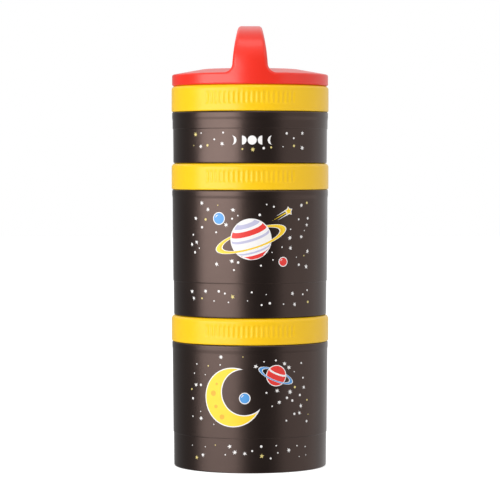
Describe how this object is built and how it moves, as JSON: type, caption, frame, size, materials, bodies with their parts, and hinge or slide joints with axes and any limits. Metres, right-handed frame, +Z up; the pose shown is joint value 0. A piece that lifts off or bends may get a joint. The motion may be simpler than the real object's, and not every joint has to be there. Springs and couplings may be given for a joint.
{
  "type": "toddler snack container",
  "caption": "Stack of round screw-together snack cups with screw rings between them, under a raised lid with a carry loop.",
  "frame": {"origin": "centre of the bottom cup's resting edge, on the surface the stack stands on", "axes": "+Z up along the stack's axis, -Y towards the printed front, +X to the right seen from the front"},
  "size_m": [0.078, 0.078, 0.218],
  "materials": {
    "cup_plastic": "satin moulded plastic, printed",
    "ring_plastic": "satin moulded plastic",
    "lid_plastic": "satin moulded plastic"
  },
  "bodies": {
    "bottom_cup": {"bottom_cup": "cup_plastic"},
    "middle_cup": {"middle_cup": "cup_plastic"},
    "lower_ring": {"lower_screw_ring": "ring_plastic"},
    "short_cup": {"short_cup": "cup_plastic"},
    "middle_ring": {"middle_screw_ring": "ring_plastic"},
    "lid": {"carry_lid": "lid_plastic"},
    "upper_ring": {"upper_screw_ring": "ring_plastic"}
  },
  "joints": [
    {"name": "middle_cup_lift", "type": "slide", "parent": "bottom_cup", "child": "middle_cup", "axis": [0, 0, 1], "range_m": [0, 0.0201]},
    {"name": "lower_ring_turn", "type": "hinge", "parent": "middle_cup", "child": "lower_ring", "pos_m": [0, 0, 0.06875], "axis": [0, 0, 1], "range_deg": [0, 450]},
    {"name": "short_cup_lift", "type": "slide", "parent": "middle_cup", "child": "short_cup", "axis": [0, 0, 1], "range_m": [0, 0.0201]},
    {"name": "middle_ring_turn", "type": "hinge", "parent": "short_cup", "child": "middle_ring", "pos_m": [0, 0, 0.14395], "axis": [0, 0, 1], "range_deg": [0, 450]},
    {"name": "lid_lift", "type": "slide", "parent": "short_cup", "child": "lid", "axis": [0, 0, 1], "range_m": [0, 0.0201]},
    {"name": "upper_ring_turn", "type": "hinge", "parent": "lid", "child": "upper_ring", "pos_m": [0, 0, 0.18225], "axis": [0, 0, 1], "range_deg": [0, 450]}
  ],
  "couplings": [
    {"joint": "middle_cup_lift", "follows": "lower_ring_turn", "m_per_rad": 0.0025465},
    {"joint": "short_cup_lift", "follows": "middle_ring_turn", "m_per_rad": 0.0025465},
    {"joint": "lid_lift", "follows": "upper_ring_turn", "m_per_rad": 0.0025465}
  ]
}
